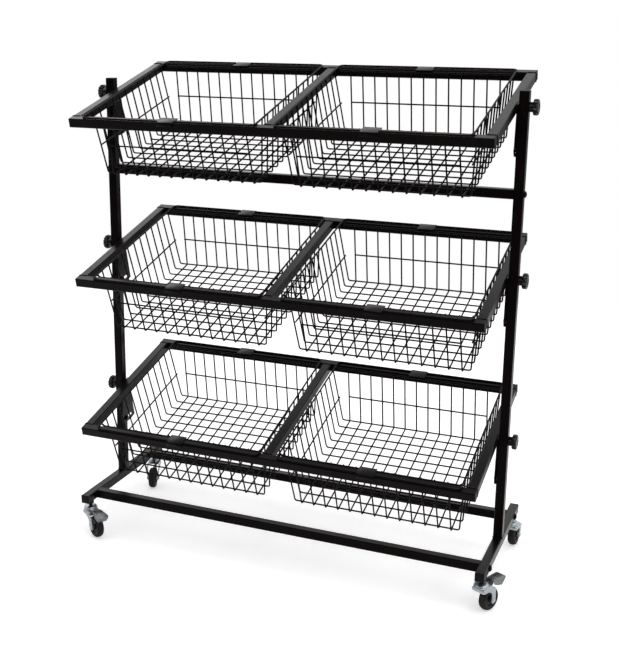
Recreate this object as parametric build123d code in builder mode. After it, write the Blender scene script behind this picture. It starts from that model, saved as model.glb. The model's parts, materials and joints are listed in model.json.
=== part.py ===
from build123d import *
import math
import os

# Basket stand in millimetres: X to the right, Y to the rear, Z up from the floor.
# Two side frames on casters are joined by three bolted bars and carry three tilting trays.
# Each tray holds two welded wire baskets that lift out.

# Square tube of the whole frame
tube = 25.0
tube_wall = 1.5
tube_corner = 2.0
cap_flange = 2.5
cap_plug_length = 12.0
cap_plug_gap = 0.1
hole_sides = 8

# Side frames and the bars between them
stand_width = 1200.0
upright_length = 1200.0
foot_length = 455.0
upper_bar_height = 930.0
lower_bar_inset = 49.0
bar_block_length = 20.0
bolt_radius = 4.0
bolt_head_radius = 9.5
bolt_head_height = 6.5
bolt_head_taper = 25.0
bolt_reach = 16.0
bolt_gap = 0.05

# Trays: three levels, leaning down to the front
tray_first_height = 280.0
tray_pitch = 440.0
tray_depth = 524.0
tray_lean = 14.4
tray_names = ("bottom", "middle", "top")

# Tilt plates, pivot studs and knobs
plate_thickness = 3.0
plate_gap = 0.5
plate_rear = 20.0
plate_front = 14.0
plate_top = 10.0
lean_most = 20.0
slot_radius = 110.0
slot_spare_angle = 3.2
slot_gap = 0.8
plate_margin = 14.0
lobe_flats = 5
guide_radius = 4.0
guide_head_radius = 7.5
guide_head_height = 4.0
guide_head_gap = 0.5
stud_radius = 4.0
stud_gap = 0.05
stud_end_gap = 2.0
knob_gap = 0.3
knob_sides = 12
knob_neck_radius = 13.0
knob_neck_length = 10.0
knob_head_radius = 20.5
knob_head_length = 13.0

# Wire baskets, each wire with a square section of the round wire's area
wire_diameter = 4.0
rim_diameter = 6.0
weld_gap = 0.02
rim_end_gap = 4.0
rim_side_gap = 14.5
long_wires = 13
long_wire_margin = 21.0
cross_wires = 12
floor_drop = 172.5
floor_end_inset = 26.0
floor_side_inset = 21.5
stiffener_drop = 91.0
hook_width = 48.0
hook_thickness = 2.0
hook_lip = 12.0
hook_gap = 0.7
basket_shifts = {
    "bottom_left": 8.0,
    "bottom_right": 3.5,
    "middle_left": 12.0,
    "middle_right": 12.0,
    "top_left": -2.0,
    "top_right": -10.0,
}

# Casters, with the way that each one trails, in degrees from +X
caster_height = 105.0
caster_inset = 30.0
caster_trail = 34.5
caster_angles = {"front_left": -32.0, "front_right": 65.5, "rear_left": -71.0, "rear_right": 85.0}
wheel_radius = 32.5
wheel_width = 22.0
wheel_sides = 24
axle_radius = 4.0
axle_gap = 0.05
fork_gap = 5.0
fork_sheet = 2.5
fork_crown_height = 78.0
fork_head_radius = 20.0
fork_head_height = 10.0
fork_front = 14.0
fork_crown_rear = 26.0
fork_leg_rear = 36.0
fork_skirt = 11.0
fork_arch_foot = 40.0
fork_end_radius = 9.0
stem_radius = 5.0
stem_gap = 0.05
swivel_gap = 0.3
stem_rivet_radius = 8.5
stem_rivet_height = 3.0
stem_nut_radius = 9.8
stem_nut_height = 9.0
pedal_pin_trail = 24.0
pedal_pin_height = 70.0
pedal_pin_radius = 2.5
pedal_pin_gap = 0.05
pedal_eye_wall = 2.2
pedal_sheet = 2.5
pedal_rise_trail = 38.0
pedal_tip_trail = 92.0
pedal_top_height = 84.0
pedal_lip_trail = 72.0
pedal_lip_height = 62.0
pedal_side_gap = 2.5
braked_casters = ("front_left", "front_right")

# Places worked out from the sizes above
tube_inside = tube - 2 * tube_wall
foot_top = caster_height + tube
frame_x = stand_width / 2 - tube / 2
bar_length = stand_width - 2 * tube
tray_width = bar_length - 2 * (plate_thickness + plate_gap)
tray_heights = [foot_top + tray_first_height + tray_pitch * i for i in range(3)]
upper_bar_z = foot_top + upper_bar_height + tube / 2
lower_bar_z = caster_height + tube / 2
lower_bar_y = foot_length / 2 - lower_bar_inset - tube / 2
caster_y = foot_length / 2 - caster_inset
rail_u = tray_depth / 2 - tube / 2
side_rail_x = tray_width / 2 - tube / 2
side_rail_length = tray_depth - 2 * tube
rail_top = tube / 2
wire = wire_diameter * math.sqrt(math.pi) / 2
rim_wire = rim_diameter * math.sqrt(math.pi) / 2
rim_top = rail_top - weld_gap
rim_v = rim_top - rim_wire / 2
floor_v = rail_top - floor_drop
long_floor_v = floor_v - wire - weld_gap
basket_x = side_rail_x / 2
rim_width = side_rail_x - tube - 2 * rim_side_gap
rim_depth = side_rail_length - 2 * rim_end_gap
floor_half_depth = rim_depth / 2 - floor_end_inset
floor_half_width = rim_width / 2 - floor_side_inset

sides = {"left": -1, "right": 1}
os.makedirs("parts", exist_ok=True)


def save(piece, name):
    """Label a finished piece and write its file."""
    piece.part.label = name
    export_step(piece.part, f"parts/{name}.step")


def tray_plane(height):
    """A tray's own plane: local x across, local y to the rear along the tray, local z square to it."""
    lean = math.radians(tray_lean)
    return Plane(origin=(0, 0, height), x_dir=(1, 0, 0), z_dir=(0, -math.sin(lean), math.cos(lean)))


def facing_right(plane, x, u, v):
    """A sketch plane that faces +X at a local point, with u to its right and v up."""
    return Plane(origin=plane.from_local_coords((x, u, v)), x_dir=plane.y_dir, z_dir=plane.x_dir)


def facing_front(plane, x, u, v):
    """A sketch plane that faces the front at a local point, with x to its right and v up."""
    return Plane(origin=plane.from_local_coords((x, u, v)), x_dir=plane.x_dir, z_dir=plane.y_dir * -1)


def tube_section():
    """The square tube's section, with its small corner rounds as flats, in the sketch that is open."""
    Rectangle(tube, tube)
    chamfer(vertices(), tube_corner)
    Rectangle(tube_inside, tube_inside, mode=Mode.SUBTRACT)


def drilled(radius, mode=Mode.ADD):
    """A small hole or shank with a few flat sides, in the sketch that is open."""
    RegularPolygon(radius, hole_sides, major_radius=False, mode=mode)


def strip(path, width):
    """The closed outline of a bent strip of even width along a path, with mitred bends."""
    points = [Vector(*p) for p in path]
    runs = [(b - a).normalized() for a, b in zip(points, points[1:])]
    before = [runs[0]] + runs
    after = runs + [runs[-1]]
    left = []
    right = []
    for point, one, two in zip(points, before, after):
        side = Vector(-one.Y - two.Y, one.X + two.X)
        reach = side * (width / 2 / (1 + one.dot(two)))
        left.append(tuple(point + reach)[:2])
        right.append(tuple(point - reach)[:2])
    return left + right[::-1]


whole = Plane.XY

# Uprights, bored for the pivot studs and for the upper bar's bolts
for side, sign in sides.items():
    with BuildPart() as upright:
        with BuildSketch(Plane((sign * frame_x, 0, foot_top))):
            tube_section()
        extrude(amount=upright_length - cap_flange)
        for height in tray_heights:
            with BuildSketch(facing_right(whole, sign * frame_x, 0, height)):
                drilled(stud_radius + stud_gap)
            extrude(amount=tube, both=True, mode=Mode.SUBTRACT)
        with BuildSketch(facing_right(whole, sign * frame_x, 0, upper_bar_z)):
            drilled(bolt_radius + bolt_gap)
        extrude(amount=tube, both=True, mode=Mode.SUBTRACT)
    save(upright, f"upright_{side}")

# Feet, bored for the lower bars' bolts
for side, sign in sides.items():
    with BuildPart() as foot:
        with BuildSketch(facing_front(whole, sign * frame_x, foot_length / 2 - cap_flange, lower_bar_z)):
            tube_section()
        extrude(amount=foot_length - 2 * cap_flange)
        for y in (-lower_bar_y, lower_bar_y):
            with BuildSketch(facing_right(whole, sign * frame_x, y, lower_bar_z)):
                drilled(bolt_radius + bolt_gap)
            extrude(amount=tube, both=True, mode=Mode.SUBTRACT)
    save(foot, f"foot_{side}")

# Bars between the side frames, each with a bored block welded into both ends
bars = {
    "crossbar_upper": (0, upper_bar_z),
    "crossbar_front": (-lower_bar_y, lower_bar_z),
    "crossbar_rear": (lower_bar_y, lower_bar_z),
}
for name, (y, z) in bars.items():
    with BuildPart() as bar:
        with BuildSketch(facing_right(whole, -bar_length / 2, y, z)):
            tube_section()
        extrude(amount=bar_length)
        for x in (-bar_length / 2, bar_length / 2 - bar_block_length):
            with BuildSketch(facing_right(whole, x, y, z)):
                Rectangle(tube_inside, tube_inside)
                drilled(bolt_radius + bolt_gap, Mode.SUBTRACT)
            extrude(amount=bar_block_length)
    save(bar, name)

# Round-headed bolts through the side frames into the bars' end blocks
with BuildPart() as crossbar_bolts:
    for y, z in bars.values():
        for sign in sides.values():
            outward = Plane((sign * stand_width / 2, y, z), x_dir=(0, 1, 0), z_dir=(sign, 0, 0))
            with BuildSketch(outward):
                drilled(bolt_radius)
            extrude(amount=-(tube + bolt_reach))
            with BuildSketch(outward):
                drilled(bolt_head_radius)
            extrude(amount=bolt_head_height, taper=bolt_head_taper)
save(crossbar_bolts, "crossbar_bolts")


def end_cap(outward):
    """A plastic cap: a flange on the tube's end, at the plane, and a plug inside the tube."""
    with BuildPart() as cap:
        with BuildSketch(outward):
            Rectangle(tube, tube)
        extrude(amount=cap_flange)
        with BuildSketch(outward):
            Rectangle(tube_inside - 2 * cap_plug_gap, tube_inside - 2 * cap_plug_gap)
        extrude(amount=-cap_plug_length)
    return cap.part


# Caps on the uprights' tops and on the feet's ends
caps = []
for sign in sides.values():
    caps.append(end_cap(Plane((sign * frame_x, 0, foot_top + upright_length - cap_flange))))
    for way in (-1, 1):
        foot_end = (sign * frame_x, way * (foot_length / 2 - cap_flange), lower_bar_z)
        caps.append(end_cap(Plane(foot_end, x_dir=(1, 0, 0), z_dir=(0, way, 0))))
with BuildPart() as end_caps:
    add(caps)
save(end_caps, "end_caps")

# Guide studs on the uprights' inner faces, straight below each pivot
guide_length = plate_gap + plate_thickness + guide_head_gap
with BuildPart() as guide_studs:
    for height in tray_heights:
        for sign in sides.values():
            inner_face = (sign * bar_length / 2, 0, height - slot_radius)
            inward = Plane(inner_face, x_dir=(0, 1, 0), z_dir=(-sign, 0, 0))
            with BuildSketch(inward):
                drilled(guide_radius)
            extrude(amount=guide_length)
            with BuildSketch(inward.offset(guide_length)):
                drilled(guide_head_radius)
            extrude(amount=guide_head_height)
save(guide_studs, "guide_studs")


def tilt_plate(face):
    """A tilt plate on a plane in u and v: a straight rear edge, an arc about the pivot and a front lobe."""
    outer_radius = slot_radius + plate_margin
    rear_angle = -math.degrees(math.acos(plate_rear / outer_radius))
    lobe_angle = -90 - lean_most
    lobe = Vector(slot_radius, 0).rotate(Axis.Z, lobe_angle)
    front = Vector(-plate_front, plate_top)
    reach = front - lobe
    tangent = math.degrees(math.atan2(reach.Y, reach.X) + math.acos(plate_margin / reach.length))
    lobe_step = (tangent - 360 - lobe_angle) / lobe_flats
    lobe_turns = [lobe_angle + lobe_step * i for i in range(lobe_flats + 1)]
    lobe_edge = [lobe + Vector(plate_margin, 0).rotate(Axis.Z, turn) for turn in lobe_turns]
    slot_start = lobe_angle - slot_spare_angle
    slot_sweep = lean_most + 2 * slot_spare_angle
    slot_half = guide_radius + slot_gap
    with BuildPart() as plate:
        with BuildSketch(face):
            with BuildLine():
                low = Vector(outer_radius, 0).rotate(Axis.Z, rear_angle)
                rear = Line((plate_rear, plate_top), low)
                CenterArc((0, 0), outer_radius, rear_angle, lobe_angle - rear_angle)
                Polyline(*lobe_edge, front, rear @ 0)
            make_face()
            drilled(stud_radius + stud_gap, Mode.SUBTRACT)
            with BuildLine():
                inner = CenterArc((0, 0), slot_radius - slot_half, slot_start, slot_sweep)
                outer = CenterArc((0, 0), slot_radius + slot_half, slot_start, slot_sweep)
                Line(inner @ 0, outer @ 0)
                Line(inner @ 1, outer @ 1)
            make_face(mode=Mode.SUBTRACT)
        extrude(amount=plate_thickness)
    return plate.part


# Trays: front and rear rails run the full width, side rails and a divider stand between them
rail_length = tray_width - 2 * cap_flange
for tray, height in zip(tray_names, tray_heights):
    plane = tray_plane(height)
    for rail, u in (("front", -rail_u), ("rear", rail_u)):
        with BuildPart() as long_rail:
            with BuildSketch(facing_right(plane, -rail_length / 2, u, 0)):
                tube_section()
            extrude(amount=rail_length)
        save(long_rail, f"tray_{tray}_{rail}_rail")

    # Side rails hold a bored block for the pivot stud's thread
    for side, sign in sides.items():
        with BuildPart() as side_rail:
            with BuildSketch(facing_front(plane, sign * side_rail_x, side_rail_length / 2, 0)):
                tube_section()
            extrude(amount=side_rail_length)
            with BuildSketch(facing_right(plane, sign * side_rail_x, 0, 0)):
                Rectangle(tube_inside, tube_inside)
            extrude(amount=tube_inside / 2, both=True)
            outward = Plane(plane.from_local_coords((sign * tray_width / 2, 0, 0)), z_dir=(sign, 0, 0))
            with BuildSketch(outward):
                drilled(stud_radius + stud_gap)
            extrude(amount=-(tube - tube_wall), mode=Mode.SUBTRACT)
        save(side_rail, f"tray_{tray}_side_rail_{side}")

    with BuildPart() as divider:
        with BuildSketch(facing_front(plane, 0, side_rail_length / 2, 0)):
            tube_section()
        extrude(amount=side_rail_length)
    save(divider, f"tray_{tray}_divider")

    caps = []
    for sign in sides.values():
        for u in (-rail_u, rail_u):
            rail_end = plane.from_local_coords((sign * rail_length / 2, u, 0))
            caps.append(end_cap(Plane(rail_end, x_dir=plane.y_dir, z_dir=plane.x_dir * sign)))
    with BuildPart() as rail_caps:
        add(caps)
    save(rail_caps, f"tray_{tray}_rail_caps")

    plate_places = (-tray_width / 2 - plate_thickness, tray_width / 2)
    plates = [tilt_plate(facing_right(plane, x, 0, 0)) for x in plate_places]
    with BuildPart() as tilt_plates:
        add(plates)
    save(tilt_plates, f"tray_{tray}_tilt_plates")

# Knobs with their threaded studs, on the pivot lines
stud_length = knob_gap + tube + plate_gap + plate_thickness + tube - tube_wall - stud_end_gap
for tray, height in zip(tray_names, tray_heights):
    for side, sign in sides.items():
        seat = Plane((sign * (stand_width / 2 + knob_gap), 0, height), x_dir=(0, 1, 0), z_dir=(sign, 0, 0))
        with BuildPart() as knob:
            with BuildSketch(seat):
                drilled(knob_neck_radius)
            extrude(amount=knob_neck_length)
            with BuildSketch(seat.offset(knob_neck_length)):
                RegularPolygon(knob_head_radius, knob_sides)
            extrude(amount=knob_head_length)
            with BuildSketch(seat):
                Circle(stud_radius)
            extrude(amount=-stud_length)
        save(knob, f"knob_{tray}_{side}")

# Wire baskets: long wires run front to back outside, cross wires left to right inside them, and the rim
# hangs just inside the tray's rails
long_top = (rim_depth / 2 - rim_wire - weld_gap - wire / 2, rail_top - wire)
long_path = [(-long_top[0], long_top[1]), (-floor_half_depth, long_floor_v)]
long_path += [(-u, v) for u, v in long_path[::-1]]
cross_top_x = (rim_width - rim_wire) / 2
cross_slope = (cross_top_x - floor_half_width) / floor_drop
cross_top_v = rim_top - rim_wire - weld_gap - cross_slope * wire / 2
cross_path = [(-cross_top_x, cross_top_v), (-floor_half_width, floor_v)]
cross_path += [(-x, v) for x, v in cross_path[::-1]]
long_span = 2 * (floor_half_width - long_wire_margin)
long_places = [long_span * (i / (long_wires - 1) - 0.5) for i in range(long_wires)]
cross_span = 2 * (floor_half_depth - wire - weld_gap)
cross_places = [cross_span * (i / (cross_wires - 1) - 0.5) for i in range(cross_wires)]


def on_wall(foot_point, top_point, v):
    """A wire's place on the inside of a sloping wall at height v, and the wall's lean in degrees."""
    run = Vector(*top_point) - Vector(*foot_point)
    place = Vector(*foot_point) + run * ((v - foot_point[1]) / run.Y)
    inward = Vector(-run.Y, run.X).normalized() * (wire + weld_gap)
    return place + inward, -math.degrees(math.atan2(run.X, run.Y))


stiffener_v = rail_top - stiffener_drop
end_wall = on_wall((floor_half_depth, long_floor_v), long_top, stiffener_v)
side_wall = on_wall((floor_half_width, floor_v), (cross_top_x, cross_top_v), stiffener_v)
long_reach = long_places[-1] + wire / 2
cross_reach = cross_places[-1] + wire / 2
hook_level = rail_top + hook_thickness / 2
hook_outer = tray_depth / 2 + hook_gap + hook_thickness
hook_path = [
    (-(rim_depth / 2 - rim_wire), hook_level),
    (-(hook_outer - hook_thickness / 2), hook_level),
    (-(hook_outer - hook_thickness / 2), rail_top + hook_thickness - hook_lip),
]
for tray, height in zip(tray_names, tray_heights):
    plane = tray_plane(height)
    for side, sign in sides.items():
        centre = sign * basket_x + basket_shifts[f"{tray}_{side}"]
        with BuildPart() as basket:
            for x in long_places:
                with BuildSketch(facing_right(plane, centre + x - wire / 2, 0, 0)):
                    with BuildLine():
                        Polyline(*strip(long_path, wire), close=True)
                    make_face()
            extrude(amount=wire)
            for u in cross_places:
                with BuildSketch(facing_front(plane, centre, u + wire / 2, 0)):
                    with BuildLine():
                        Polyline(*strip(cross_path, wire), close=True)
                    make_face()
            extrude(amount=wire)
            with BuildSketch(facing_right(plane, centre - long_reach, 0, 0)):
                with Locations(end_wall[0]):
                    Rectangle(wire, wire, rotation=end_wall[1])
                mirror(about=Plane.YZ)
            extrude(amount=2 * long_reach)
            with BuildSketch(facing_front(plane, centre, cross_reach, 0)):
                with Locations(side_wall[0]):
                    Rectangle(wire, wire, rotation=side_wall[1])
                mirror(about=Plane.YZ)
            extrude(amount=2 * cross_reach)
            with BuildSketch(Plane(plane.from_local_coords((centre, 0, rim_top)), plane.x_dir, plane.z_dir)):
                Rectangle(rim_width, rim_depth)
                Rectangle(rim_width - 2 * rim_wire, rim_depth - 2 * rim_wire, mode=Mode.SUBTRACT)
            extrude(amount=-rim_wire)
        save(basket, f"basket_{tray}_{side}")

        # Hook plates from the rim over the front and rear rails
        with BuildPart() as hooks:
            with BuildSketch(facing_right(plane, centre - hook_width / 2, 0, 0)):
                with BuildLine():
                    Polyline(*strip(hook_path, hook_thickness), close=True)
                make_face()
                mirror(about=Plane.YZ)
            extrude(amount=hook_width)
        save(hooks, f"hooks_{tray}_{side}")


def caster_plane(name):
    """A caster's own plane on the floor under its stem: local x along the trail, local y along the axle."""
    sign = -1 if name.endswith("left") else 1
    way = -1 if name.startswith("front") else 1
    angle = math.radians(caster_angles[name])
    trail = (math.cos(angle), math.sin(angle), 0)
    return Plane((sign * frame_x, way * caster_y, 0), x_dir=trail, z_dir=(0, 0, 1))


# Caster stems: a nut welded under the foot holds the stem, whose riveted end carries the fork
fork_head_top = fork_crown_height + fork_head_height
rivet_top = fork_crown_height - fork_sheet - swivel_gap
with BuildPart() as caster_stems:
    for name in caster_angles:
        under_foot = Plane(caster_plane(name).origin).offset(caster_height)
        with BuildSketch(under_foot):
            RegularPolygon(stem_nut_radius, 6)
        extrude(amount=-stem_nut_height)
        with BuildSketch(under_foot):
            Circle(stem_radius)
        extrude(amount=-(caster_height - rivet_top))
        with BuildSketch(under_foot.offset(rivet_top - caster_height)):
            drilled(stem_rivet_radius)
        extrude(amount=-stem_rivet_height)
save(caster_stems, "caster_stems")

# Forks and wheels, each in its caster's own plane
leg_inside = wheel_width / 2 + fork_gap
leg_outside = leg_inside + fork_sheet
hood_outside = leg_outside + fork_sheet
fork_length = fork_front + fork_crown_rear
axle = (caster_trail, wheel_radius)
pin = (pedal_pin_trail, pedal_pin_height)
arch_top = fork_crown_height - fork_skirt


def round_points(centre, reach, rise, angles):
    """Points on an ellipse about a centre, at angles in degrees."""
    turns = [math.radians(angle) for angle in angles]
    return [(centre[0] + reach * math.cos(turn), centre[1] + rise * math.sin(turn)) for turn in turns]


# A leg's outline: its round end about the axle, then the arch over the wheel's front
leg_outline = [(-fork_front, fork_crown_height), (fork_leg_rear, fork_crown_height)]
leg_outline += round_points(axle, fork_end_radius, fork_end_radius, (0, -45, -90, -135, -180))
arch_reach = caster_trail - fork_end_radius
leg_outline += round_points((0, fork_arch_foot), arch_reach, arch_top - fork_arch_foot, (0, 30, 60, 90))
leg_outline += [(-fork_front, arch_top)]
for name in caster_angles:
    place = caster_plane(name)
    with BuildPart() as fork:
        # The pressed hood, open below and at the rear, and the legs inside its skirts
        with BuildSketch(place.offset(fork_crown_height)):
            with Locations((fork_crown_rear - fork_length / 2, 0)):
                Rectangle(fork_length, 2 * hood_outside)
        extrude(amount=-fork_skirt)
        with BuildSketch(place.offset(fork_crown_height - fork_sheet)):
            with Locations((fork_crown_rear - fork_length / 2 + fork_sheet, 0)):
                Rectangle(fork_length, 2 * leg_outside)
        extrude(amount=-fork_skirt, mode=Mode.SUBTRACT)
        for y in (-leg_inside, leg_outside):
            with BuildSketch(facing_front(place, 0, y, 0)):
                with BuildLine():
                    Polyline(*leg_outline, close=True)
                make_face()
        extrude(amount=fork_sheet)

        # The swivel head and the bore for its stem
        with BuildSketch(place.offset(fork_crown_height)):
            RegularPolygon(fork_head_radius, knob_sides)
        extrude(amount=fork_head_height)
        with BuildSketch(place.offset(fork_head_top)):
            drilled(stem_radius + stem_gap)
        extrude(amount=-(fork_head_height + fork_sheet), mode=Mode.SUBTRACT)

        # The riveted axle and, on a braked caster, the pedal's pin, across both legs
        with BuildSketch(facing_front(place, 0, leg_outside, 0)):
            with Locations(axle):
                RegularPolygon(axle_radius, hole_sides)
            if name in braked_casters:
                with Locations(pin):
                    RegularPolygon(pedal_pin_radius, hole_sides)
        extrude(amount=2 * leg_outside)
    save(fork, f"caster_fork_{name}")

    with BuildPart() as wheel:
        with BuildSketch(facing_front(place, 0, wheel_width / 2, 0)):
            with Locations(axle):
                RegularPolygon(wheel_radius, wheel_sides, major_radius=False, rotation=180 / wheel_sides)
                Circle(axle_radius + axle_gap, mode=Mode.SUBTRACT)
        extrude(amount=wheel_width)
    save(wheel, f"caster_wheel_{name}")

# Brake pedals: a bent strip on the fork's pin, level when it is released, with its end folded under
pedal_half = leg_inside - pedal_side_gap
pedal_eye = pedal_pin_radius + pedal_pin_gap + pedal_eye_wall
pedal_path = [
    pin,
    (pedal_rise_trail, pedal_top_height),
    (pedal_tip_trail, pedal_top_height),
    (pedal_lip_trail, pedal_lip_height),
]
for name in braked_casters:
    place = caster_plane(name)
    with BuildPart() as pedal:
        with BuildSketch(facing_front(place, 0, pedal_half, 0)):
            with BuildLine():
                Polyline(*strip(pedal_path, pedal_sheet), close=True)
            make_face()
            with Locations(pin):
                RegularPolygon(pedal_eye, hole_sides)
                Circle(pedal_pin_radius + pedal_pin_gap, mode=Mode.SUBTRACT)
        extrude(amount=2 * pedal_half)
    save(pedal, f"caster_pedal_{name}")
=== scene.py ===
# %% [markdown]
# # A rolling basket stand
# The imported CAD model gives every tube, plate, wheel and joint its place, and it stays fixed. This lesson
# dresses it: the tubes get a paint, and the wires, knobs, bolts and casters are modelled again with the
# rounds that a solid model leaves out. All lengths are in metres, with X to the right and Z up.

# %% Load the frame
import json
import math

import bmesh
import bpy
from mathutils import Matrix, Vector


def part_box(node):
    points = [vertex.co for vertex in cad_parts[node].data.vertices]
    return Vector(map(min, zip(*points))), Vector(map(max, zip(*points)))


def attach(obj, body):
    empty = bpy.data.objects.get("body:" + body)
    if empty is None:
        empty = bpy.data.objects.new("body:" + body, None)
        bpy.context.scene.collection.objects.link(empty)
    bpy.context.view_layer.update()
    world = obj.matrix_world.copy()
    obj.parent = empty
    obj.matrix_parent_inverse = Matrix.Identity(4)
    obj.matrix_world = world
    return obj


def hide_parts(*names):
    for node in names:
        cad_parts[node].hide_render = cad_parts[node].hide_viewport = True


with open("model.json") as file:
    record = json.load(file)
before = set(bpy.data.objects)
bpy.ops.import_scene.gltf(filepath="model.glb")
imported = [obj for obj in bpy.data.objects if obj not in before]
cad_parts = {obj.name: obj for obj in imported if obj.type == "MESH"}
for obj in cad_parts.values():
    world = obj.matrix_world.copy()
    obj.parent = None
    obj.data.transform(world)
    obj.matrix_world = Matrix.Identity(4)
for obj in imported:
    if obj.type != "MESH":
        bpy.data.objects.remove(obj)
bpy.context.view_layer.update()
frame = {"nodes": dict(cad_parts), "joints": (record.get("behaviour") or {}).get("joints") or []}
scene = bpy.context.scene
scene.view_settings.view_transform = "Standard"
joints = {joint["name"]: joint for joint in frame["joints"]}

# %% [markdown]
# # Camera
# The photograph is taken from the front, to the right of the stand and a little above it. The camera could
# be set by eye, but the edges of the tubes give its place and focal length closely, so these numbers come
# from fitting them. The picture was trimmed off centre, and a small shift repeats that.

# %% Camera
picture_width = 620
picture_height = 652
focal_pixels = 1116.2
axis_pixel = (263.65, 303.25)
eye = Vector((1.0967, -2.8142, 1.5248))
yaw = math.radians(23.24)
pitch = math.radians(14.83)
roll = math.radians(0.14)

lens = bpy.data.cameras.new("camera")
lens.sensor_width = 36
lens.lens = focal_pixels / picture_height * lens.sensor_width
lens.shift_x = (picture_width / 2 - axis_pixel[0]) / picture_height
lens.shift_y = (axis_pixel[1] - picture_height / 2) / picture_height
camera = bpy.data.objects.new("camera", lens)
look = Vector((-math.sin(yaw) * math.cos(pitch), math.cos(yaw) * math.cos(pitch), -math.sin(pitch)))
aim = look.to_track_quat("-Z", "Y").to_matrix().to_4x4()
camera.matrix_world = Matrix.Translation(eye) @ aim @ Matrix.Rotation(roll, 4, "Z")
scene.collection.objects.link(camera)
scene.camera = camera
print("lens", round(lens.lens, 2), "mm")

# %% [markdown]
# # Finishes
# A finish here is a Principled shader with patterns that vary its colour, roughness and bump. The patterns
# are sums and products, so one small class lets a socket be added and multiplied as if it were a number,
# and one method adds any other node. Every pattern reads Object coordinates, in metres, so a scale of 1000
# makes spots of about a millimetre on every piece alike.

# %% Sockets as numbers
class Signal:
    """One output socket. Arithmetic on it adds Math nodes."""

    def __init__(self, nodes, socket):
        self.nodes = nodes
        self.socket = socket

    def maths(self, operation, first, second):
        return self.nodes.node("ShaderNodeMath", {"operation": operation}, {0: first, 1: second})

    def __add__(self, other):
        return self.maths("ADD", self, other)

    def __rsub__(self, other):
        return self.maths("SUBTRACT", other, self)

    def __mul__(self, other):
        return self.maths("MULTIPLY", self, other)

    __radd__ = __add__
    __rmul__ = __mul__


class Nodes:
    """A node tree that is being wired up."""

    def __init__(self, tree):
        self.tree = tree

    def node(self, kind, settings={}, inputs={}, output=0):
        """Add a node: its settings first, then its sockets' values or links. Gives one output."""
        made = self.tree.nodes.new(kind)
        for key, value in settings.items():
            setattr(made, key, value)
        for key, value in inputs.items():
            self.feed(made.inputs[key], value)
        return Signal(self, made.outputs[output])

    def feed(self, socket, value):
        """Link a signal to a socket, or set a plain value on it."""
        if isinstance(value, Signal):
            self.tree.links.new(value.socket, socket)
        else:
            socket.default_value = value


class Finish(Nodes):
    """A material while it is being mixed."""

    def __init__(self, name):
        self.material = bpy.data.materials.new(name)
        self.material.use_nodes = True
        super().__init__(self.material.node_tree)
        self.shader = self.tree.nodes["Principled BSDF"]
        self.place = self.node("ShaderNodeTexCoord", output="Object")

    def noise(self, scale, detail=2.0, stretch=(1, 1, 1)):
        """Soft spots from 0 to 1, stretched along the axes."""
        place = self.node("ShaderNodeMapping", {}, {"Vector": self.place, "Scale": stretch})
        return self.node("ShaderNodeTexNoise", {}, {"Vector": place, "Scale": scale, "Detail": detail})

    def above(self, signal, low, high):
        """0 where a signal is under low, 1 where it is over high."""
        return self.node("ShaderNodeMapRange", {}, {"Value": signal, "From Min": low, "From Max": high})

    def mix(self, mask, first, second):
        """One colour where the mask is 0, the other where it is 1."""
        colours = {0: mask, 6: (*first, 1), 7: (*second, 1)}
        return self.node("ShaderNodeMix", {"data_type": "RGBA"}, colours, output=2)

    def bump(self, height, depth, strength=1.0):
        """Raise the surface by a signal, to a depth in metres."""
        values = {"Strength": strength, "Distance": depth, "Height": height}
        self.wear("Normal", self.node("ShaderNodeBump", {}, values))

    def wear(self, socket, value):
        """Give the shader's socket a pattern or a value."""
        self.feed(self.shader.inputs[socket], value)


# %% [markdown]
# ## Satin black on the tubes
# The frame is black stove enamel over steel tube. Up close it has a fine orange peel, a faint cloudiness
# in its gloss and some grey dust and rubbing. It mirrors little straight on and more at a glancing view,
# which is why the tops and outer sides look grey beside the front faces. The wires wear the same enamel,
# a little duller because it draws thin over them.

# %% Black enamel
soot = (0.0030, 0.0014, 0.0016)
dust = (0.0170, 0.0150, 0.0145)


def enamel(name, gloss, mirror, straight_on):
    """Black enamel over steel. It mirrors little straight on and more at a glancing view."""
    finish = Finish(name)
    cloud = finish.noise(14, 4)
    peel = finish.noise(520, 1.5)
    rub = finish.above(finish.noise(60, 5, (1, 1, 0.25)), 0.60, 0.72)
    finish.wear("Base Color", finish.mix(cloud * 0.12 + rub * 0.12, soot, dust))
    finish.wear("Roughness", cloud * 0.10 + rub * 0.06 + gloss)
    finish.wear("Specular IOR Level", mirror)
    finish.wear("Specular Tint", (straight_on, straight_on, straight_on, 1))
    finish.bump(peel, 0.00012, 0.5)
    return finish.material


frame_enamel = enamel("frame_enamel", 0.24, 0.35, 0.07)
wire_enamel = enamel("wire_enamel", 0.42, 0.20, 0.20)
print("enamels", frame_enamel.name, wire_enamel.name)

# %% [markdown]
# ## Plastics, zinc and rubber
# The end caps and knobs are moulded black plastic with a fine spark-eroded grain, the knobs glossier from
# handling. The casters are zinc plated: pale, bluish and slightly blotched where the plating crystals
# differ. The pedals wear a darker copy of the zinc, which is painted shade: it stands in for the dark frame
# mirrored in their tops. The tyres are black rubber with dust ground in.

# %% Plastics
def moulding(name, black, roughness, grain_scale, straight_on):
    """Moulded black plastic with a fine even grain."""
    finish = Finish(name)
    cloud = finish.noise(30, 3)
    grain = finish.noise(grain_scale, 2)
    finish.wear("Base Color", finish.mix(cloud, black, tuple(1.9 * part for part in black)))
    finish.wear("Roughness", grain * 0.12 + roughness)
    finish.wear("Specular Tint", (straight_on, straight_on, straight_on, 1))
    finish.bump(grain, 0.0001, 0.6)
    return finish.material


cap_plastic = moulding("cap_plastic", (0.003, 0.0026, 0.0027), 0.46, 1400, 0.20)
knob_plastic = moulding("knob_plastic", (0.0030, 0.0026, 0.0028), 0.14, 1800, 0.80)
hub_plastic = moulding("hub_plastic", (0.006, 0.005, 0.005), 0.42, 1600, 0.30)
print("plastics", cap_plastic.name, knob_plastic.name, hub_plastic.name)

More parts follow.
